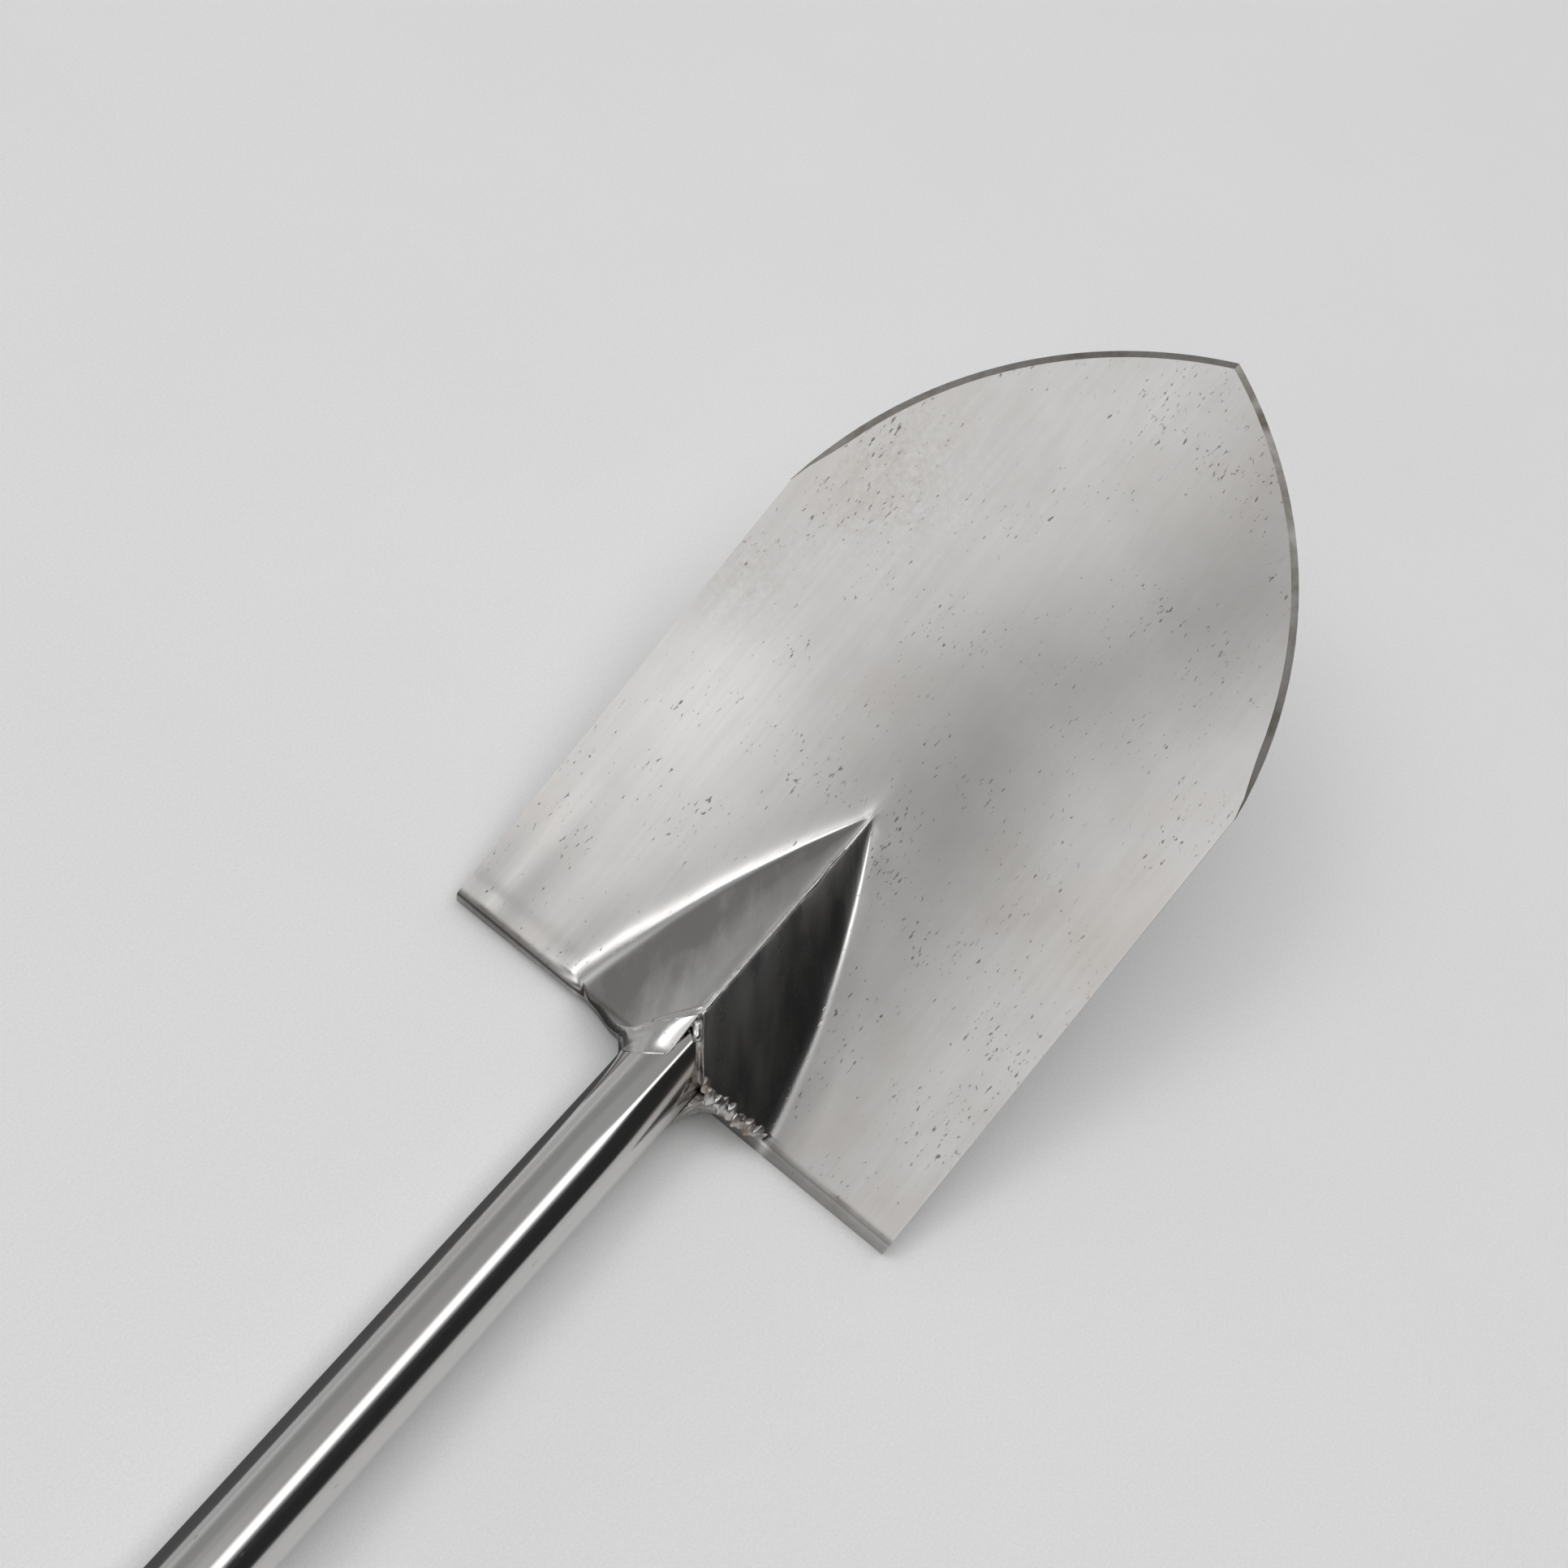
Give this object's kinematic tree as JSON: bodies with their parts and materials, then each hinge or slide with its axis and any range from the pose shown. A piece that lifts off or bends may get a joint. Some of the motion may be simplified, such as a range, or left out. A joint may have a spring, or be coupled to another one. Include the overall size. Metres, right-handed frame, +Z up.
{
  "type": "detecting shovel",
  "caption": "Stainless digging shovel with a pointed dished blade, folded heel treads, a raised V socket welded to a tubular shaft and a rubber-sleeved T-handle.",
  "frame": {"origin": "middle of the footprint, on the floor that the shovel lies on face up, resting on the edges of its treads and on its grips' beads", "axes": "+X along the shaft from the T-handle to the blade's tip, +Y to the left when the tip points away, +Z up out of the floor"},
  "size_m": [0.9734, 0.195, 0.1528],
  "materials": {
    "blade_steel": "ground along the blade, satin, worn",
    "tube_steel": "drawn tube, bright",
    "weld_steel": "weld bead, partly ground",
    "grip_rubber": "ribbed, matt",
    "plug_plastic": "moulded, fine grain"
  },
  "bodies": {
    "root": {"blade": "blade_steel", "ridge_weld": "weld_steel", "neck_weld_crown": "weld_steel", "neck_weld_left": "weld_steel", "neck_weld_right": "weld_steel", "shaft": "tube_steel", "crossbar": "tube_steel", "crossbar_weld": "weld_steel", "grip_left": "grip_rubber", "grip_right": "grip_rubber", "end_plug_left": "plug_plastic", "end_plug_right": "plug_plastic"}
  },
  "joints": []
}
